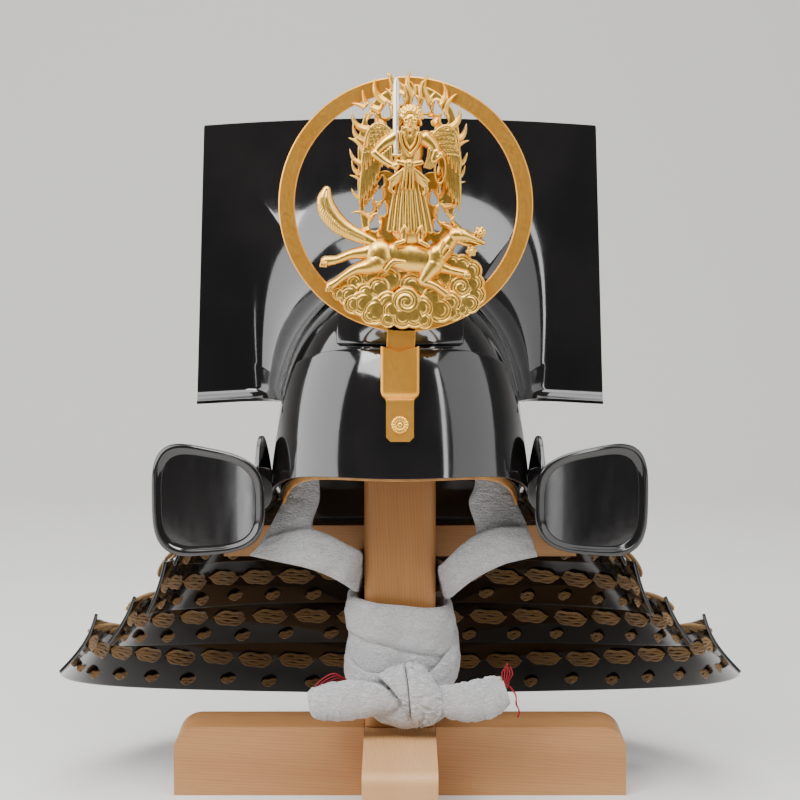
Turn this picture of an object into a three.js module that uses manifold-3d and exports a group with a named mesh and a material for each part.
// A half-size display kabuto, a samurai helmet with a valley board, on its wooden stand.
// Millimetres, +Z up. The helmet faces -Y, and +X is the side on the right of a front view.
// The origin is the middle of the stand's underside.
import * as THREE from 'three';
import { mergeVertices } from 'three/addons/utils/BufferGeometryUtils.js';
import Module from 'manifold-3d';

const wasm = await Module();
wasm.setup();

// Clearance that touching pieces keep
const gap = 0.3;

// Stand, all of square-sawn timber
const timber = 33.5;
const baseHeight = 33;
const boardLength = 214;
const boardDepth = 30;
const boardCorner = 11.5;
const footLength = 190;
const footCorner = 6;
const barLength = 170;
const barHeight = 15;
const barCorner = 9;
const barDepth = 12;
const barZ = 116.5;
const headBlockSize = 46;
const headBlockHeight = 22;
const headBlockEase = 4;

// Bowl, an egg-shaped dome over a short upright skirt
const bowlHalfWidth = 58.5;
const bowlFront = 66;
const bowlBack = 64;
const bowlSpring = 150;
const bowlRise = 95;
const bowlRoundness = 2.4;
const bowlRimZ = 141;
const plateWall = 1.5;
const crownHalfWidth = 28;
const crownSeamLap = 3;
const crownFootRise = 5;

// Brow plate at the front of the bowl
const browWall = 2.2;
const browRidgeZ = 216;
const browRidgeDrop = 9;
const browEdgeUp = 18.5;
const browTipDrop = 19;
const browSweep = 78;
const browLip = 2.4;
const browLipSharpness = 6;
const browNarrowing = 0.8;
const liningWall = 1.2;
const liningHeight = 8;
const liningShow = 2.2;

// Valley board: a sheet that flares back from the crown and stands up as a wide board
const valleyWall = 1.8;
const valleyHalfTop = 94.5;
const valleyHalfFoot = 97.5;
const valleyTopZ = 319;
const valleyCornerDrop = 3.5;
const valleyFootZ = 189.5;
const valleyTopY = 40;
const valleyFootY = 24;
const creaseHalfWidth = 55.6;
const creaseY = -14;
const creaseSink = 2.5;
const flareReach = 34;
const flareStart = 0.08;
const flareReturn = 0.52;
const lipDrop = 5.5;
const lipReach = 4.5;
const lipShare = 0.06;
const valleySideShare = 0.3;

// Neck guard of five plates and the turned-back flaps of the first one
const guardHalfWidth = 162;
const guardBack = 119;
const guardRearZ = 17;
const guardSideZ = 60;
const guardSweep = 97;
const guardWall = 1.6;
const guardCurve = 1.8;
const flapWidth = 54;
const flapHeight = 50;
const flapWall = 1.8;
const flapRim = 4;
const flapRimRise = 1.2;
const flapCentreX = 88.5;
const flapUp = 2;
const flapInnerY = -38;
const flapTurn = 17;
const flapTaper = 0.16;
const flapCurl = 3;
const flapRoundness = 3.4;
const laceWall = 1.8;
const laceClear = 0.8;
const laceCount = 13;
const laceFrom = 0.34;
const laceTo = 0.66;
const laceLobe = 0.12;
const laceMargin = 0.02;
const laceHollow = 0.3;

// Crest, with its socket on the brow plate
const crestStand = 1.8;
const ringRadius = 55.5;
const ringBand = 7.1;
const ringWall = 1.6;
const ringEase = 0.4;
const ringHeight = 72;
const crestLean = 2;
const stemWidth = 12.4;
const stemGrip = 9.5;
const stemClear = 1.5;
const socketWidth = 15.2;
const socketBelowRidge = 19;
const socketPocketHeight = 21.5;
const socketPlateHeight = 21;
const socketPlateWidth = 12.2;
const socketWall = 1.1;
const socketNotch = 2.8;
const socketLap = 2;
const socketLipShare = 0.1;
const rosetteRadius = 3.9;
const rosetteRise = 1.3;
const rosetteUp = 7.5;
const petalCount = 12;
const petalDepth = 0.12;
const sheetWall = 1.2;
const haloHalfWidth = 25;
const haloHalfHeight = 36;
const haloCentre = 94;
const tongueCount = 20;
const tongueLift = 3;
const wingSpan = 22;
const wingHeight = 40;
const featherCount = 6;
const figureHeight = 58;
const figureFoot = 55.5;
const reliefDepth = 6.5;
const foxLength = 50;
const foxX = 2;
const cloudHalfWidth = 33;
const cloudHeight = 25;
const cloudFoot = 18.5;

// Chin cord, a padded crepe band tied round the post
const strapThick = 10;
const wrapHeight = 21;
const wrapThick = 8;
const wrapTopZ = 96;
const wrapSlope = 0.12;
const wrapEase = 0.2;
const wrapCornerShare = 0.95;
const knotWidth = 33;
const knotHeight = 31;
const knotDepth = 17;
const knotX = 3.6;
const knotZ = 52.5;
const tailWidth = 20;
const tailThick = 10;

const lacquer = { color: 0x0b0a0a, roughness: 0.12, metalness: 0.1 };
const gilt = { color: 0xd9a441, roughness: 0.32, metalness: 0.9 };
const wood = { color: 0xcf9a5c, roughness: 0.6, metalness: 0 };
const crepe = { color: 0xf1f1ee, roughness: 0.85, metalness: 0 };
const silkCord = { color: 0xa98a3c, roughness: 0.7, metalness: 0 };
const leather = { color: 0xa8642a, roughness: 0.65, metalness: 0 };

const browEdgeZ = bowlRimZ + browEdgeUp;
const flapCentreZ = bowlRimZ + flapUp;

const kabuto = new THREE.Group();
const degrees = Math.PI / 180;
const v3 = (x, y, z) => new THREE.Vector3(x, y, z);
const mix = THREE.MathUtils.lerp;

function add(parent, name, geometry, finish) {
  const mesh = new THREE.Mesh(geometry, new THREE.MeshStandardMaterial(finish));
  mesh.name = name;
  parent.add(mesh);
  return mesh;
}

// Volume inside a closed list of triangles, negative when its faces point in
function signedVolume(points, faces) {
  let six = 0;
  for (const [a, b, c] of faces) {
    six += points[a].dot(v3(0, 0, 0).crossVectors(points[b], points[c]));
  }
  return six / 6;
}

function closedGeometry(points, faces) {
  const outward = signedVolume(points, faces) > 0;
  const geometry = new THREE.BufferGeometry();
  geometry.setAttribute('position', new THREE.Float32BufferAttribute(
    points.flatMap((p) => [p.x, p.y, p.z]), 3));
  geometry.setIndex(faces.flatMap(([a, b, c]) => (outward ? [a, b, c] : [a, c, b])));
  return geometry;
}

// A wall between two surfaces of the same two parameters, each from 0 to 1
function wallBetween(outer, inner, across, along, ring = false) {
  const points = [];
  const faces = [];
  const columns = ring ? across : across + 1;
  for (const surface of [outer, inner]) {
    for (let j = 0; j <= along; j += 1) {
      for (let i = 0; i < columns; i += 1) {
        points.push(surface(i / across, j / along));
      }
    }
  }
  const layer = columns * (along + 1);
  const at = (side, i, j) => side * layer + j * columns + (i % columns);
  const quad = (a, b, c, d) => faces.push([a, b, c], [a, c, d]);
  for (let i = 0; i < across; i += 1) {
    for (let j = 0; j < along; j += 1) {
      quad(at(0, i, j), at(0, i + 1, j), at(0, i + 1, j + 1), at(0, i, j + 1));
      quad(at(1, i, j), at(1, i, j + 1), at(1, i + 1, j + 1), at(1, i + 1, j));
    }
    quad(at(0, i + 1, 0), at(0, i, 0), at(1, i, 0), at(1, i + 1, 0));
    quad(at(0, i, along), at(0, i + 1, along), at(1, i + 1, along), at(1, i, along));
  }
  for (let j = 0; j < along && !ring; j += 1) {
    quad(at(0, 0, j), at(0, 0, j + 1), at(1, 0, j + 1), at(1, 0, j));
    quad(at(0, across, j + 1), at(0, across, j), at(1, across, j), at(1, across, j + 1));
  }
  return closedGeometry(points, faces);
}

// The point of a surface moved along its own normal, which is found from small steps
function offset(surface, distance, u, v) {
  const step = 0.002;
  const du = surface(Math.min(u + step, 1), v).sub(surface(Math.max(u - step, 0), v));
  const dv = surface(u, Math.min(v + step, 1)).sub(surface(u, Math.max(v - step, 0)));
  const normal = v3(0, 0, 0).crossVectors(du, dv).normalize();
  return surface(u, v).addScaledVector(normal, distance);
}

// Triangles between rows of points round a tube, with its two ends capped
function ringFaces(rows, sides, closed) {
  const faces = [];
  for (let j = 0; j < (closed ? rows : rows - 1); j += 1) {
    for (let i = 0; i < sides; i += 1) {
      const a = j * sides + i;
      const b = j * sides + ((i + 1) % sides);
      const c = ((j + 1) % rows) * sides + ((i + 1) % sides);
      const d = ((j + 1) % rows) * sides + i;
      faces.push([a, b, c], [a, c, d]);
    }
  }
  if (!closed) {
    for (let i = 1; i < sides - 1; i += 1) {
      faces.push([0, i + 1, i]);
      const end = (rows - 1) * sides;
      faces.push([end, end + i, end + i + 1]);
    }
  }
  return faces;
}

// An oval roll carried along a smooth route: each stop has a place, a width and a thickness
function roll(stops, side, sections, sides = 10, closed = false) {
  const route = new THREE.CatmullRomCurve3(stops.map((s) => s.at), closed);
  const last = closed ? stops.length : stops.length - 1;
  const sizeAt = (key, t) => {
    const place = t * last;
    const stop = Math.min(Math.floor(place), last - 1);
    const next = stops[(stop + 1) % stops.length];
    return mix(stops[stop][key], next[key], place - stop);
  };
  const points = [];
  const rows = closed ? sections : sections + 1;
  for (let j = 0; j < rows; j += 1) {
    const t = j / sections;
    const centre = route.getPoint(t);
    const tangent = route.getTangent(t).normalize();
    const flat = side(t).clone().addScaledVector(tangent, -side(t).dot(tangent)).normalize();
    const across = v3(0, 0, 0).crossVectors(tangent, flat);
    for (let i = 0; i < sides; i += 1) {
      const angle = (2 * Math.PI * i) / sides;
      points.push(centre.clone()
        .addScaledVector(flat, Math.cos(angle) * sizeAt('width', t) / 2)
        .addScaledVector(across, Math.sin(angle) * sizeAt('thick', t) / 2));
    }
  }
  return closedGeometry(points, ringFaces(rows, sides, closed));
}

// A padded band whose two edges are given stop by stop: its section is an oval between them
function band(stops, thick, sections, sides = 10) {
  const inner = new THREE.CatmullRomCurve3(stops.map((stop) => stop.inner));
  const outer = new THREE.CatmullRomCurve3(stops.map((stop) => stop.outer));
  const points = [];
  for (let j = 0; j <= sections; j += 1) {
    const t = j / sections;
    const flat = outer.getPoint(t).sub(inner.getPoint(t)).multiplyScalar(0.5);
    const centre = inner.getPoint(t).add(flat);
    const tangent = inner.getTangent(t).add(outer.getTangent(t));
    const across = v3(0, 0, 0).crossVectors(tangent, flat).normalize();
    for (let i = 0; i < sides; i += 1) {
      const angle = (2 * Math.PI * i) / sides;
      points.push(centre.clone()
        .addScaledVector(flat, Math.cos(angle))
        .addScaledVector(across, Math.sin(angle) * thick / 2));
    }
  }
  return closedGeometry(points, ringFaces(sections + 1, sides, false));
}

function solid(geometry) {
  const bare = geometry.clone();
  bare.deleteAttribute('normal');
  bare.deleteAttribute('uv');
  const merged = mergeVertices(bare, 1e-4);
  return new wasm.Manifold(new wasm.Mesh({
    numProp: 3,
    vertProperties: new Float32Array(merged.attributes.position.array),
    triVerts: new Uint32Array(merged.index.array),
  }));
}

function geometryOf(manifold) {
  const mesh = manifold.getMesh();
  const geometry = new THREE.BufferGeometry();
  geometry.setAttribute('position', new THREE.BufferAttribute(mesh.vertProperties, 3));
  geometry.setIndex(new THREE.BufferAttribute(mesh.triVerts, 1));
  return geometry;
}

const joined = (list) => list.map(solid).reduce((whole, piece) => whole.add(piece));

function block(width, depth, height, x, y, z) {
  return new THREE.BoxGeometry(width, depth, height).translate(x, y, z);
}

// A profile drawn in the XZ plane and given depth from front to back
function slabXZ(shape, front, depth, curveSegments = 6, bevel = 0) {
  const geometry = new THREE.ExtrudeGeometry(shape, {
    depth: depth - 2 * bevel,
    curveSegments,
    bevelEnabled: bevel > 0,
    bevelThickness: bevel,
    bevelSize: bevel,
    bevelOffset: -bevel,
    bevelSegments: 1,
  });
  geometry.translate(0, 0, bevel);
  geometry.rotateX(Math.PI / 2);
  return geometry.translate(0, front + depth, 0);
}

function beamShape(length, height, corner) {
  const shape = new THREE.Shape();
  shape.moveTo(-length / 2, 0);
  shape.lineTo(length / 2, 0);
  shape.lineTo(length / 2, height - corner);
  shape.absarc(length / 2 - corner, height - corner, corner, 0, Math.PI / 2);
  shape.lineTo(-length / 2 + corner, height);
  shape.absarc(-length / 2 + corner, height - corner, corner, Math.PI / 2, Math.PI);
  return shape;
}

// Stand: two beams half-lapped into a cross, the post, the bar behind it and the head block
const lapZ = baseHeight / 2;
const beamAcross = solid(slabXZ(beamShape(boardLength, baseHeight, boardCorner),
  -boardDepth / 2, boardDepth));
const upperLap = block(timber + 2 * gap, boardDepth * 2, baseHeight, 0, 0, lapZ + baseHeight / 2);
add(kabuto, 'stand_board', geometryOf(beamAcross.subtract(solid(upperLap))), wood);
const beamAlong = solid(slabXZ(beamShape(footLength, baseHeight, footCorner),
  -timber / 2, timber).rotateZ(Math.PI / 2));
const lowerLap = block(timber * 2, boardDepth + 2 * gap, baseHeight,
  0, 0, lapZ + gap - baseHeight / 2);
add(kabuto, 'stand_foot', geometryOf(beamAlong.subtract(solid(lowerLap))), wood);

// The dome: a plan ellipse that narrows with height; turn is 0 at the front
function domePoint(turn, rise, grow = 0) {
  const depth = Math.cos(turn) > 0 ? bowlFront : bowlBack;
  const reach = (1 - rise ** bowlRoundness) ** (1 / bowlRoundness);
  return v3((bowlHalfWidth + grow) * Math.sin(turn) * reach,
    -(depth + grow) * Math.cos(turn) * reach,
    bowlSpring + (bowlRise + grow) * rise);
}

const domeHeight = (x, y) => {
  const across = Math.hypot(x / bowlHalfWidth, y / (y < 0 ? bowlFront : bowlBack));
  return bowlSpring + bowlRise * Math.max(0, 1 - across ** bowlRoundness) ** (1 / bowlRoundness);
};

const headTopZ = domeHeight(0, headBlockSize / 2) - 2 * plateWall - gap;
const postTop = headTopZ - headBlockHeight - gap;
add(kabuto, 'stand_post', block(timber, timber, postTop - baseHeight - gap,
  0, 0, (postTop + baseHeight + gap) / 2), wood);
const barShape = beamShape(barLength, barHeight, barCorner);
const bar = slabXZ(barShape, timber / 2 + gap, barDepth, 4).translate(0, 0, barZ - barHeight / 2);
add(kabuto, 'stand_bar', bar, wood);

// Head block: a short stub with an eased top that carries the crown from inside
const headHalf = headBlockSize / 2;
const headPlan = [
  { reach: headHalf - headBlockEase, level: 0 },
  { reach: headHalf, level: headBlockEase },
  { reach: headHalf, level: headBlockHeight - headBlockEase },
  { reach: headHalf - headBlockEase, level: headBlockHeight },
];
const headProfile = [new THREE.Vector2(0, 0),
  ...headPlan.map((row) => new THREE.Vector2(row.reach, row.level)),
  new THREE.Vector2(0, headBlockHeight)];
const headBlock = new THREE.LatheGeometry(headProfile, 16).rotateX(Math.PI / 2);
headBlock.translate(0, 0, headTopZ - headBlockHeight);
add(kabuto, 'stand_head_block', headBlock, wood);

// Closed dome shell between two growths, with its skirt down to the rim
function domeShell(outerGrow, innerGrow, turns = 28) {
  const rows = [];
  const rises = 7;
  for (let j = 0; j <= rises; j += 1) rows.push(Math.sin((j / rises) * Math.PI / 2) ** 1.1);
  const profilePoint = (u, row, grow) => {
    const turn = u * 2 * Math.PI;
    if (row < 0) return domePoint(turn, 0, grow).setZ(bowlRimZ);
    return domePoint(turn, Math.min(rows[row], 1), grow);
  };
  const points = [];
  const faces = [];
  const layer = turns * (rises + 1) + 1;
  for (const grow of [outerGrow, innerGrow]) {
    for (let j = -1; j < rises; j += 1) {
      for (let i = 0; i < turns; i += 1) points.push(profilePoint(i / turns, j, grow));
    }
    points.push(v3(0, 0, bowlSpring + bowlRise + grow));
  }
  for (let i = 0; i < turns; i += 1) {
    const n = (i + 1) % turns;
    for (let j = 0; j < rises; j += 1) {
      const [a, b] = [j * turns + i, j * turns + n];
      faces.push([a, b, b + turns], [a, b + turns, a + turns]);
      faces.push([layer + a, layer + b + turns, layer + b]);
      faces.push([layer + a, layer + a + turns, layer + b + turns]);
    }
    const top = rises * turns;
    faces.push([top + i, top + n, layer - 1]);
    faces.push([layer + top + i, 2 * layer - 1, layer + top + n]);
    faces.push([n, i, layer + i], [n, layer + i, layer + n]);
  }
  return closedGeometry(points, faces);
}

const edgeLine = (share) => browEdgeZ - browTipDrop * share ** 4;
const ridgeLine = (share) => browRidgeZ - browRidgeDrop * Math.abs(share) ** 3;

// Brow plate surface: u runs from its left tip to its right tip, v from the edge to the ridge
function browSurface(grow) {
  return (u, v) => {
    const share = 2 * u - 1;
    const bottomTurn = share * browSweep * degrees;
    const turn = mix(bottomTurn, bottomTurn * browNarrowing, v);
    const z = mix(edgeLine(share), ridgeLine(share), v);
    const rise = Math.max(0, (z - bowlSpring) / (bowlRise + grow));
    const flare = browLip * (1 - v) ** browLipSharpness;
    return domePoint(turn, rise, grow + flare).setZ(z);
  };
}

const sideShell = solid(domeShell(0, -plateWall));
const bowlWidth = 2 * bowlHalfWidth;
const seamX = crownHalfWidth - crownSeamLap;
const sideCutter = (sign) => solid(block(bowlWidth, 3 * bowlFront, 4 * bowlRise,
  sign * (seamX + bowlWidth / 2), 0, bowlSpring));
// Room for the brow plate: the front of the bowl from far below up to a chosen line
const frontSurface = (grow, line) => (u, v) => {
  const z = mix(bowlRimZ / 2, line(2 * u - 1), v);
  const rise = Math.max(0, (z - bowlSpring) / bowlRise);
  return domePoint((2 * u - 1) * browSweep * degrees, rise, grow).setZ(z);
};
const frontCutter = (line) => solid(wallBetween(frontSurface(3 * browWall, line),
  frontSurface(-3 * browWall, line), 26, 8));
const browClear = frontCutter((share) => ridgeLine(share) + gap);
const underBrow = frontCutter((share) => edgeLine(share) + gap);
for (const [name, sign] of [['bowl_left_plate', -1], ['bowl_right_plate', 1]]) {
  add(kabuto, name, geometryOf(sideShell.intersect(sideCutter(sign)).subtract(underBrow)), lacquer);
}
const crownStrip = solid(domeShell(gap + plateWall, gap))
  .intersect(solid(block(2 * crownHalfWidth, 3 * bowlFront, 4 * bowlRise, 0, 0, bowlSpring)));
const crownFoot = bowlRimZ + crownFootRise;
const backRoom = solid(block(2 * bowlWidth, bowlWidth, crownFoot, 0, bowlWidth / 2, crownFoot / 2));
add(kabuto, 'bowl_crown_plate', geometryOf(crownStrip.subtract(browClear).subtract(backRoom)),
  lacquer);
add(kabuto, 'brow_plate', wallBetween(browSurface(2 * gap + browWall), browSurface(2 * gap),
  20, 4), lacquer);

// Lining edge: a leather band inside the bowl that shows as a line below the brow plate
const liningSurface = (grow, ease = 0) => (u, v) => {
  const share = 2 * u - 1;
  const z = edgeLine(share) - liningShow - ease + (liningHeight + 2 * ease) * v;
  const rise = Math.max(0, (z - bowlSpring) / bowlRise);
  return domePoint(share * (browSweep + ease) * degrees, rise, grow).setZ(z);
};
const liningGrow = -plateWall - 3 * gap;
add(kabuto, 'lining_edge', wallBetween(liningSurface(liningGrow),
  liningSurface(liningGrow - liningWall), 26, 1), leather);

// Crease where the valley board leaves the dome; w runs from -1 at the left to 1 at the right
function creasePoint(w) {
  const x = creaseHalfWidth * Math.sin(w * Math.PI / 2);
  const y = creaseY * (1 - Math.abs(Math.sin(w * Math.PI / 2)) ** 4);
  const sunk = 1 - creaseSink / bowlHalfWidth;
  return v3(x * sunk, y * sunk, mix(bowlSpring, domeHeight(x, y), sunk));
}

// Outline of the standing board: up the left edge, across the top and down the right edge
function outlinePoint(u) {
  const left = u < valleySideShare;
  const right = u > 1 - valleySideShare;
  const climb = left ? u / valleySideShare : (1 - u) / valleySideShare;
  const cornerZ = valleyTopZ - valleyCornerDrop;
  if (left || right) {
    const reach = mix(valleyHalfFoot, valleyHalfTop, climb);
    return v3(left ? -reach : reach, mix(valleyFootY, valleyTopY, climb),
      mix(valleyFootZ, cornerZ, climb));
  }
  const across = (u - 0.5) / (0.5 - valleySideShare);
  return v3(across * valleyHalfTop, valleyTopY, valleyTopZ - valleyCornerDrop * across ** 2);
}

// The valley: each line leaves the dome backwards and turns out into the board's plane
function valleySurface(u, v) {
  const start = creasePoint(2 * u - 1);
  const end = outlinePoint(u);
  const outward = v3(end.x - start.x, 0, end.z - start.z);
  const leave = start.clone().addScaledVector(outward, flareStart).add(v3(0, flareReach, 1));
  const turn = end.clone().addScaledVector(outward, -flareReturn);
  turn.y = Math.max(mix(end.y, valleyFootY, 0.2), start.y + flareReach * 0.8);
  return new THREE.CubicBezierCurve3(start, leave, turn, end).getPoint(v);
}

// The same sheet with its two feet rolled forward into a lip
function valleyFront(u, v) {
  const inner = THREE.MathUtils.clamp((u - lipShare) / (1 - 2 * lipShare), 0, 1);
  const curl = Math.max(lipShare - u, u - 1 + lipShare, 0) / lipShare;
  const point = valleySurface(inner, v);
  point.y -= lipReach * curl ** 2 * Math.min(1, 4 * v);
  point.z -= lipDrop * curl;
  return point;
}
const valleyBack = (u, v) => offset(valleyFront, valleyWall, u, v);
const bowlRoom = solid(domeShell(plateWall + 2 * gap, -6 * plateWall));
const valleySheet = solid(wallBetween(valleyFront, valleyBack, 26, 6));
add(kabuto, 'valley_board', geometryOf(valleySheet.subtract(bowlRoom)), lacquer);

// Neck guard edges, from the upper edge of the first plate to the lower edge of the last:
// shares of the way from the bowl's rim to the guard's own rim
const guardEdges = [
  { plate: 1, edge: 'upper', width: 0.025, depth: 0.045, rear: -0.04, end: -0.04 },
  { plate: 1, edge: 'lower', width: 0.38, depth: 0.34, rear: 0.17, end: 0.19 },
  { plate: 2, edge: 'upper', width: 0.41, depth: 0.38, rear: 0.14, end: 0.16 },
  { plate: 2, edge: 'lower', width: 0.475, depth: 0.54, rear: 0.37, end: 0.38 },
  { plate: 3, edge: 'upper', width: 0.515, depth: 0.58, rear: 0.34, end: 0.36 },
  { plate: 3, edge: 'lower', width: 0.6, depth: 0.71, rear: 0.57, end: 0.67 },
  { plate: 4, edge: 'upper', width: 0.655, depth: 0.75, rear: 0.54, end: 0.56 },
  { plate: 4, edge: 'lower', width: 0.78, depth: 0.84, rear: 0.76, end: 0.84 },
  { plate: 5, edge: 'upper', width: 0.83, depth: 0.88, rear: 0.73, end: 0.66 },
  { plate: 5, edge: 'lower', width: 1, depth: 1, rear: 1, end: 1 },
];
const plateCount = 5;
const edgeOf = (plate, edge) => guardEdges.find((row) => row.plate === plate && row.edge === edge);

// Point on an edge of the guard; turn runs from -1 at the left end to 1 at the right end
function guardPoint(row, turn) {
  const angle = turn * guardSweep * degrees;
  const reachX = mix(bowlHalfWidth, guardHalfWidth, row.width);
  const reachY = mix(bowlBack, guardBack, row.depth);
  const rear = mix(bowlRimZ - 2, guardRearZ, row.rear);
  const end = mix(bowlRimZ, guardSideZ, row.end);
  return v3(reachX * Math.sin(angle), reachY * Math.cos(angle),
    mix(rear, end, Math.abs(turn) ** guardCurve));
}

// A guard plate between its two edges, hollowed a little so that it flares to its foot
function guardSurface(plate, hollow) {
  const [upper, lower] = [edgeOf(plate, 'upper'), edgeOf(plate, 'lower')];
  return (u, v) => {
    const turn = 2 * u - 1;
    const point = guardPoint(upper, turn).lerp(guardPoint(lower, turn), v);
    const inward = 1 - hollow * Math.sin(Math.PI * v) / Math.hypot(point.x, point.y);
    point.x *= inward;
    point.y *= inward;
    return point;
  };
}
const plateHollow = [1.5, 0.6, 1, 1.4, 3];
const guardStepCount = 20;
for (let plate = 1; plate <= plateCount; plate += 1) {
  const outside = guardSurface(plate, plateHollow[plate - 1]);
  add(kabuto, `neck_plate_${plate}`, wallBetween(outside,
    (u, v) => offset(outside, -guardWall, u, v), guardStepCount, plate === plateCount ? 3 : 2),
  lacquer);
}

// Lacing: on the inside of each plate but the first a row of bundled cords, with a lobe at
// every knot
function laceSurface(plate, inset) {
  const outside = guardSurface(plate, plateHollow[plate - 1]);
  return (u, v) => {
    const lobe = laceLobe * (0.5 - 0.5 * Math.cos(2 * Math.PI * laceCount * u));
    const share = v < 0.5 ? laceFrom - lobe : laceTo + lobe;
    return offset(outside, -inset, mix(laceMargin, 1 - laceMargin, u), share);
  };
}
for (let plate = 2; plate <= plateCount; plate += 1) {
  const inset = guardWall + laceClear + laceHollow * plateHollow[plate - 1];
  add(kabuto, `lace_row_${plate}`, wallBetween(laceSurface(plate, inset),
    laceSurface(plate, inset + laceWall), 2 * laceCount, 1), silkCord);
}

// A closed dish between a front and a back, each given by an angle and a share of its radius
function dish(front, back, steps, shares) {
  const points = [front(0, 0), back(0, 0)];
  const faces = [];
  for (const surface of [front, back]) {
    for (const share of shares) {
      for (let i = 0; i < steps; i += 1) points.push(surface((2 * Math.PI * i) / steps, share));
    }
  }
  const layer = steps * shares.length;
  const at = (layerIndex, ringIndex, i) => 2 + layerIndex * layer + ringIndex * steps + (i % steps);
  for (let i = 0; i < steps; i += 1) {
    faces.push([0, at(0, 0, i), at(0, 0, i + 1)], [1, at(1, 0, i + 1), at(1, 0, i)]);
    for (let j = 0; j + 1 < shares.length; j += 1) {
      faces.push([at(0, j, i), at(0, j + 1, i), at(0, j + 1, i + 1)]);
      faces.push([at(0, j, i), at(0, j + 1, i + 1), at(0, j, i + 1)]);
      faces.push([at(1, j, i), at(1, j + 1, i + 1), at(1, j + 1, i)]);
      faces.push([at(1, j, i), at(1, j, i + 1), at(1, j + 1, i + 1)]);
    }
    const last = shares.length - 1;
    faces.push([at(0, last, i), at(1, last, i), at(1, last, i + 1)]);
    faces.push([at(0, last, i), at(1, last, i + 1), at(0, last, i + 1)]);
  }
  return closedGeometry(points, faces);
}

// Turned-back flap: a rounded sheet with a raised rim, taller at its outer end
const flapInnerX = flapCentreX - flapWidth / 2;
function flapPoint(sign, angle, share, forward) {
  const [c, s] = [Math.cos(angle), Math.sin(angle)];
  const round = (Math.abs(c) ** flapRoundness + Math.abs(s) ** flapRoundness)
    ** (-1 / flapRoundness);
  const across = (c * round * share * flapWidth) / 2;
  const up = s * round * share * (flapHeight / 2) * (1 + (flapTaper * 2 * across) / flapWidth);
  const x = flapCentreX + across;
  const away = (x - flapInnerX) / flapWidth;
  const y = flapInnerY + Math.tan(flapTurn * degrees) * (x - flapInnerX) + flapCurl * away ** 2;
  return v3(sign * x, y - forward, flapCentreZ + up);
}
const flapShares = [0.5, 1 - (2 * flapRim) / flapHeight, 1 - (1.5 * flapRim) / flapHeight, 1];
const flapRise = (share) => (share > flapShares[1] ? flapRimRise : 0);

// Tab that carries a flap round from the front end of the first neck plate: x and z are shares
// of the flap's width and height from its inner edge and centre, y of the way back to the bowl
const tabUpper = [{ x: 0.056, y: 0.058, z: 0.3 }, { x: 0.056, y: 0.5, z: 0.98 },
  { x: 0.0185, y: 0.724, z: 0.08 }];
const tabLower = [{ x: 0.056, y: 0.058, z: -0.32 }, { x: 0.167, y: 0.5, z: -0.34 },
  { x: 0.556, y: 0.671, z: -0.29 }];
const tabCurve = (stops) => new THREE.QuadraticBezierCurve3(...stops.map(({ x, y, z }) => v3(
  flapInnerX + x * flapWidth, flapInnerY * (1 - y), flapCentreZ + z * flapHeight)));
function tabSurface(sign, thick) {
  const upper = tabCurve(tabUpper);
  const lower = tabCurve(tabLower);
  return (u, v) => {
    const point = upper.getPoint(u).lerp(lower.getPoint(u), v);
    point.x = sign * (point.x + thick);
    return point;
  };
}
for (const [name, sign] of [['flap_left', -1], ['flap_right', 1]]) {
  const sheet = dish((a, r) => flapPoint(sign, a, r, flapRise(r)),
    (a, r) => flapPoint(sign, a, r, -flapWall), 18, flapShares);
  const tab = wallBetween(tabSurface(sign, flapWall), tabSurface(sign, 0), 8, 2);
  add(kabuto, name, geometryOf(joined([sheet, tab])), lacquer);
}

// Crest socket: a riveted plate folded forward into a flat pocket for the stem
const crestY = -bowlFront - crestStand;
const socketFoldZ = browRidgeZ - socketBelowRidge;
const socketTopZ = socketFoldZ + socketPocketHeight;
const socketFootZ = socketFoldZ - socketPlateHeight;
const slotFoot = socketFoldZ + stemClear;
const crestPivotZ = slotFoot + stemGrip;
const pocketHalf = ringWall / 2 + gap;
const pocketFront = crestY - pocketHalf - socketWall;
const pocketBack = crestY + pocketHalf + socketWall;
const pocketShape = new THREE.Shape();
const pocketWide = socketWidth / 2;
pocketShape.moveTo(-pocketWide, socketFoldZ);
pocketShape.lineTo(pocketWide, socketFoldZ);
pocketShape.lineTo(pocketWide, socketTopZ);
pocketShape.lineTo(0, socketTopZ - socketNotch);
pocketShape.lineTo(-pocketWide, socketTopZ);
const pocket = solid(slabXZ(pocketShape, pocketFront, pocketBack - pocketFront));
const slotRise = 1.4 * socketPocketHeight;
const slot = solid(block(stemWidth + 2 * gap, 2 * pocketHalf, slotRise, 0, crestY,
  slotFoot - gap - crestPivotZ + slotRise / 2).rotateY(crestLean * degrees)
  .translate(0, 0, crestPivotZ));
const browAt = (z) => -(bowlFront + browWall + 2 * gap)
  * (1 - ((z - bowlSpring) / bowlRise) ** bowlRoundness) ** (1 / bowlRoundness) - gap;
const plateProfile = new THREE.Shape();
const plateFootY = browAt(socketFootZ) - browLip * socketLipShare;
plateProfile.moveTo(plateFootY, socketFootZ);
plateProfile.lineTo(pocketBack - socketWall, socketFoldZ + socketLap);
plateProfile.lineTo(pocketBack - 2 * socketWall, socketFoldZ + socketLap);
plateProfile.lineTo(plateFootY - socketWall, socketFootZ);
const socketPlate = new THREE.ExtrudeGeometry(plateProfile, {
  depth: socketPlateWidth,
  bevelEnabled: false,
});
socketPlate.rotateX(Math.PI / 2).rotateZ(Math.PI / 2);
socketPlate.translate(-socketPlateWidth / 2, 0, 0);
const socketBody = pocket.add(solid(socketPlate)).subtract(slot);
add(kabuto, 'crest_socket', geometryOf(socketBody), gilt);

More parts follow.
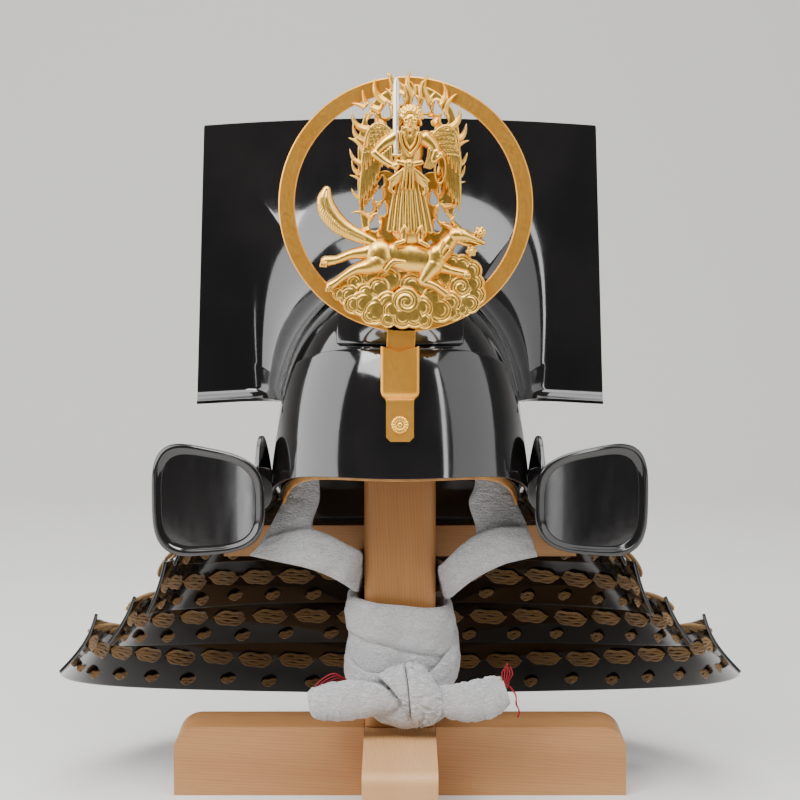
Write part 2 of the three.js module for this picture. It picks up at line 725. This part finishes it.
// Rosette that covers the socket's rivet
const rosetteZ = socketFootZ + rosetteUp;
const plateSlope = (pocketBack - socketWall - plateFootY) / (socketPlateHeight + socketLap);
const rosetteY = plateFootY + plateSlope * rosetteUp - socketWall - gap;
const rosettePoint = (rise) => (angle, share) => {
  const petal = share === 1 ? petalDepth * Math.cos(petalCount * angle) : 0;
  const radius = rosetteRadius * share * (1 + petal);
  const height = rise * (1 - 0.5 * share ** 2);
  return v3(radius * Math.cos(angle), rosetteY - height + plateSlope * radius * Math.sin(angle),
    rosetteZ + radius * Math.sin(angle));
};
add(kabuto, 'socket_rosette', dish(rosettePoint(rosetteRise), rosettePoint(0), 2 * petalCount,
  [0.5, 1]), gilt);

// Crest: everything on the stem leans together about the socket
const crest = new THREE.Group();
crest.position.set(0, 0, crestPivotZ);
crest.rotation.y = crestLean * degrees;
kabuto.add(crest);

const ringShape = new THREE.Shape();
ringShape.absarc(0, ringHeight, ringRadius, 0, 2 * Math.PI);
const ringHole = new THREE.Path();
ringHole.absarc(0, ringHeight, ringRadius - ringBand, 0, 2 * Math.PI, true);
ringShape.holes.push(ringHole);
const stemTop = ringHeight - ringRadius + ringBand / 2;
const ringBody = joined([
  slabXZ(ringShape, crestY - ringWall / 2, ringWall, 15, ringEase),
  block(stemWidth, ringWall, stemTop + stemGrip, 0, crestY, (stemTop - stemGrip) / 2),
]);
add(crest, 'crest_ring', geometryOf(ringBody), gilt);

// Halo of flames: tongues that lean upwards round an oval, pierced between them
const haloY = crestY - ringWall / 2 - gap - sheetWall;
const haloPoint = (angle, reach, lift) => [
  haloHalfWidth * reach * Math.sin(angle),
  haloCentre + haloHalfHeight * reach * Math.cos(angle) + lift,
];
const haloShape = new THREE.Shape();
const haloFrom = -2.6;
const tongueStep = (-2 * haloFrom) / tongueCount;
haloShape.moveTo(...haloPoint(haloFrom, 0.72, 0));
for (let k = 0; k < tongueCount; k += 1) {
  const angle = haloFrom + k * tongueStep;
  const inward = angle + tongueStep / 2 < 0 ? 0.85 : 0.15;
  haloShape.lineTo(...haloPoint(angle + tongueStep * 0.15, 0.84, 0));
  haloShape.lineTo(...haloPoint(angle + tongueStep * inward, k % 2 ? 1 : 0.9,
    tongueLift * (1 + Math.cos(angle)) / 2));
  haloShape.lineTo(...haloPoint(angle + tongueStep * 0.85, 0.84, 0));
  haloShape.lineTo(...haloPoint(angle + tongueStep, 0.76, 0));
}
for (let k = 1; k < tongueCount - 1; k += 2) {
  const angle = haloFrom + (k + 0.5) * tongueStep;
  const hole = new THREE.Path();
  hole.moveTo(...haloPoint(angle - tongueStep * 0.3, 0.66, 0));
  hole.lineTo(...haloPoint(angle, 0.56, 0));
  hole.lineTo(...haloPoint(angle + tongueStep * 0.3, 0.66, 0));
  hole.lineTo(...haloPoint(angle, 0.78, 1));
  haloShape.holes.push(hole);
}
add(crest, 'crest_flames', slabXZ(haloShape, haloY, sheetWall, 1), gilt);

// Wings: two fans of feathers behind the shoulders
const wingY = haloY - gap - sheetWall;
const wingShape = new THREE.Shape();
const wingRoot = figureFoot + figureHeight * 0.78;
const featherAt = (sign, k) => {
  const share = k / featherCount;
  return [sign * wingSpan * (1 - 0.55 * share), wingRoot - wingHeight * (0.35 + 0.65 * share)];
};
wingShape.moveTo(-4, wingRoot);
wingShape.lineTo(-wingSpan * 0.7, wingRoot + 3);
for (let k = 0; k <= featherCount; k += 1) {
  wingShape.lineTo(...featherAt(-1, k));
  wingShape.lineTo(featherAt(-1, k)[0] + 2, featherAt(-1, k)[1] + 3);
}
for (let k = featherCount; k >= 0; k -= 1) {
  wingShape.lineTo(featherAt(1, k)[0] - 2, featherAt(1, k)[1] + 3);
  wingShape.lineTo(...featherAt(1, k));
}
wingShape.lineTo(wingSpan * 0.7, wingRoot + 3);
wingShape.lineTo(4, wingRoot);
add(crest, 'crest_wings', slabXZ(wingShape, wingY, sheetWall, 1), gilt);

// An egg lying in the relief: centre, half sizes and turn in the picture plane
function egg({ x, z, wide, tall, deep = reliefDepth, turn = 0 }, grow = 0, sides = 8) {
  const ball = new THREE.SphereGeometry(1, sides, sides - 2);
  ball.scale(wide + grow, deep + grow, tall + grow);
  return ball.rotateY(turn * degrees).translate(x, wingY - gap, z);
}
const reliefRoom = (front) => solid(block(4 * ringRadius, 8 * reliefDepth, 4 * ringHeight,
  0, front - 4 * reliefDepth, ringHeight));

// Guardian: shares of the figure's height up its axis, in relief
const guardianParts = [
  { part: 'hair', x: 0.01, z: 0.92, wide: 0.085, tall: 0.09, deep: 0.1 },
  { part: 'head', x: 0.01, z: 0.88, wide: 0.06, tall: 0.075, deep: 0.13 },
  { part: 'chest', x: 0, z: 0.7, wide: 0.12, tall: 0.13, deep: 0.11 },
  { part: 'hips', x: 0.02, z: 0.5, wide: 0.12, tall: 0.13, deep: 0.1 },
  { part: 'robe', x: 0.03, z: 0.27, wide: 0.15, tall: 0.2, deep: 0.09 },
  { part: 'right shin', x: -0.04, z: 0.1, wide: 0.045, tall: 0.12, deep: 0.08 },
  { part: 'left shin', x: 0.13, z: 0.1, wide: 0.045, tall: 0.12, deep: 0.08 },
  { part: 'right arm', x: -0.15, z: 0.66, wide: 0.045, tall: 0.13, deep: 0.1, turn: 30 },
  { part: 'right hand', x: -0.13, z: 0.58, wide: 0.07, tall: 0.045, deep: 0.15 },
  { part: 'left arm', x: 0.165, z: 0.66, wide: 0.045, tall: 0.14, deep: 0.09, turn: -28 },
  { part: 'left hand', x: 0.24, z: 0.55, wide: 0.045, tall: 0.045, deep: 0.1 },
];
const sized = (row, unit, foot) => ({
  x: row.x * unit,
  z: foot + row.z * unit,
  wide: row.wide * unit,
  tall: row.tall * unit,
  deep: row.deep * unit,
  turn: row.turn ?? 0,
});
const foxParts = [
  { part: 'chest', x: 0.4, z: -0.1, wide: 0.2, tall: 0.13, deep: 0.14 },
  { part: 'belly', x: 0.12, z: -0.13, wide: 0.24, tall: 0.1, deep: 0.12 },
  { part: 'hips', x: -0.18, z: -0.12, wide: 0.18, tall: 0.14, deep: 0.13 },
  { part: 'neck', x: 0.54, z: 0.0, wide: 0.07, tall: 0.13, deep: 0.1, turn: 30 },
  { part: 'head', x: 0.62, z: 0.08, wide: 0.1, tall: 0.055, deep: 0.1, turn: 10 },
  { part: 'ear', x: 0.56, z: 0.16, wide: 0.025, tall: 0.07, deep: 0.06, turn: -20 },
  { part: 'near front leg', x: 0.46, z: -0.26, wide: 0.16, tall: 0.045, deep: 0.13, turn: -24 },
  { part: 'near front paw', x: 0.3, z: -0.35, wide: 0.09, tall: 0.035, deep: 0.12, turn: -10 },
  { part: 'near hind leg', x: -0.42, z: -0.28, wide: 0.2, tall: 0.05, deep: 0.11, turn: -24 },
  { part: 'near hind paw', x: -0.6, z: -0.38, wide: 0.09, tall: 0.035, deep: 0.11, turn: -10 },
  { part: 'far hind leg', x: -0.5, z: -0.14, wide: 0.2, tall: 0.04, deep: 0.08, turn: -8 },
  { part: 'tail root', x: -0.36, z: 0.06, wide: 0.15, tall: 0.07, deep: 0.09, turn: 20 },
  { part: 'tail', x: -0.56, z: 0.2, wide: 0.17, tall: 0.1, deep: 0.1, turn: 52 },
  { part: 'tail tip', x: -0.66, z: 0.38, wide: 0.12, tall: 0.06, deep: 0.08, turn: 85 },
];
const foxSolid = (grow) => foxParts
  .map((row) => egg(sized(row, foxLength, figureFoot), grow).translate(foxX, 0, 0))
  .map(solid).reduce((whole, piece) => whole.add(piece));
const guardianSolid = guardianParts
  .map((row) => solid(egg(sized(row, figureHeight, figureFoot))))
  .reduce((whole, piece) => whole.add(piece));
const figureRoom = reliefRoom(wingY - gap);
add(crest, 'crest_fox', geometryOf(foxSolid(0).intersect(figureRoom)), gilt);
const guardian = guardianSolid.subtract(foxSolid(gap)).intersect(figureRoom);
add(crest, 'crest_guardian', geometryOf(guardian), gilt);

// Cloud under the fox: two courses of scrolled puffs
const cloudSolids = [];
const cloudSideCount = 6;
const cloudCourses = [
  { puffs: 6, level: 0.62, spread: 1, radius: 0.3 },
  { puffs: 4, level: 0.28, spread: 0.62, radius: 0.3 },
];
for (const course of cloudCourses) {
  for (let k = 0; k < course.puffs; k += 1) {
    const across = (2 * k) / (course.puffs - 1) - 1;
    cloudSolids.push(solid(egg({
      x: 1 + across * cloudHalfWidth * course.spread * 0.86,
      z: cloudFoot + cloudHeight * (course.level + 0.14 * Math.abs(across)),
      wide: cloudHeight * course.radius,
      tall: cloudHeight * course.radius * 0.9,
      deep: reliefDepth,
    }, 0, cloudSideCount)));
  }
}
const cloudRoom = reliefRoom(crestY - ringWall / 2 - gap);
const cloud = cloudSolids.reduce((whole, piece) => whole.add(piece));
add(crest, 'crest_cloud', geometryOf(cloud.subtract(foxSolid(gap)).intersect(cloudRoom)), gilt);

// Chin cord: two padded rolls that come down from the rim to the post, two turns round it,
// the knot in front and its two tails
const wrapReach = timber / 2 + gap + wrapThick / 2 + wrapEase;
const wrapCorner = wrapReach * wrapCornerShare;
const wrapPlan = [
  { x: 0, y: -1 }, { x: 1, y: -1, corner: true }, { x: 1, y: 0 }, { x: 1, y: 1, corner: true },
  { x: 0, y: 1 }, { x: -1, y: 1, corner: true }, { x: -1, y: 0 }, { x: -1, y: -1, corner: true },
];
for (let turn = 1; turn <= 2; turn += 1) {
  const level = wrapTopZ - wrapHeight * (turn - 0.5) - gap * (turn - 1);
  const stops = wrapPlan.map(({ x, y, corner }) => {
    const reach = corner ? wrapCorner : wrapReach;
    return { at: v3(x * reach, y * reach, level - wrapSlope * x * reach), width: wrapHeight,
      thick: wrapThick };
  });
  add(kabuto, `cord_wrap_${turn}`, roll(stops, () => v3(0, 0, 1), 16, 8, true), crepe);
}
const knotY = -wrapReach - wrapThick / 2 - gap - knotDepth / 2;
const knotBall = (grow) => new THREE.SphereGeometry(1, 12, 8)
  .scale(knotWidth / 2 + grow, knotDepth / 2 + grow, knotHeight / 2 + grow)
  .translate(knotX, knotY, knotZ);
add(kabuto, 'cord_knot', knotBall(0), crepe);

// Tails: x, y and z are shares of the knot's width, depth and height from its centre
const tails = [
  { name: 'cord_tail_left', stops: [
    { x: -0.291, y: 0.06, z: -0.016, wide: 1, thick: 1 },
    { x: -0.867, y: 0.06, z: -0.081, wide: 1, thick: 1 },
    { x: -1.352, y: 0.18, z: -0.242, wide: 0.7, thick: 0.7 },
  ] },
  { name: 'cord_tail_right', stops: [
    { x: 0.285, y: 0.06, z: -0.081, wide: 0.8, thick: 1 },
    { x: 0.891, y: 0.06, z: 0.016, wide: 0.8, thick: 1 },
    { x: 1.376, y: 0.18, z: 0.145, wide: 0.6, thick: 0.7 },
  ] },
];
const tailStop = ({ x, y, z, wide, thick }) => ({
  at: v3(knotX + x * knotWidth, knotY + y * knotDepth, knotZ + z * knotHeight),
  width: wide * tailWidth,
  thick: thick * tailThick,
});
for (const { name, stops } of tails) {
  const tailRoll = roll(stops.map(tailStop), () => v3(0, 0, 1), 6);
  const tail = solid(tailRoll).subtract(solid(knotBall(gap)));
  add(kabuto, name, geometryOf(tail), crepe);
}
const liningRoom = solid(wallBetween(liningSurface(browWall, 2 * gap),
  liningSurface(liningGrow - liningWall - gap, 2 * gap), 26, 1));
const wrapRoomTop = wrapTopZ + wrapSlope * wrapReach + gap;
const wrapRoom = solid(block(4 * wrapReach, 4 * wrapReach, 3 * wrapHeight,
  0, 0, wrapRoomTop - 1.5 * wrapHeight));

// Strap from the rim to the post: x runs from the wraps' side at 0 to the bowl's side at 1, y is
// a share of the bowl's front, and z runs from the wraps' top at 0 to the bowl's rim at 1
const strapStops = [
  { inner: [0.396, 0.152, 1.467], outer: [0.772, 0.121, 1.467] },
  { inner: [0.369, 0.212, 1], outer: [0.893, 0.167, 1] },
  { inner: [0.45, 0.303, 0.744], outer: [1.054, 0.212, 0.778] },
  { inner: [0.283, 0.333, 0.611], outer: [1.228, 0.273, 0.456] },
  { inner: [0.109, 0.333, 0.467], outer: [0.799, 0.364, 0.367] },
  { inner: [-0.007, 0.258, 0.356], outer: [0.342, 0.348, 0.233] },
  { inner: [0.028, 0.091, 0.278], outer: [0.087, 0.136, 0.058] },
  { inner: [0.034, -0.121, 0.244], outer: [0.06, -0.121, 0.049] },
];
const strapPoint = (sign, [x, y, z]) => v3(sign * mix(wrapReach, bowlHalfWidth, x),
  -y * bowlFront, mix(wrapTopZ, bowlRimZ, z));
for (const [name, sign] of [['cord_strap_left', -1], ['cord_strap_right', 1]]) {
  const stops = strapStops.map(({ inner, outer }) => ({
    inner: strapPoint(sign, inner),
    outer: strapPoint(sign, outer),
  }));
  const strap = solid(band(stops, strapThick, 14, 8)).subtract(wrapRoom).subtract(liningRoom);
  add(kabuto, name, geometryOf(strap), crepe);
}

export default kabuto;
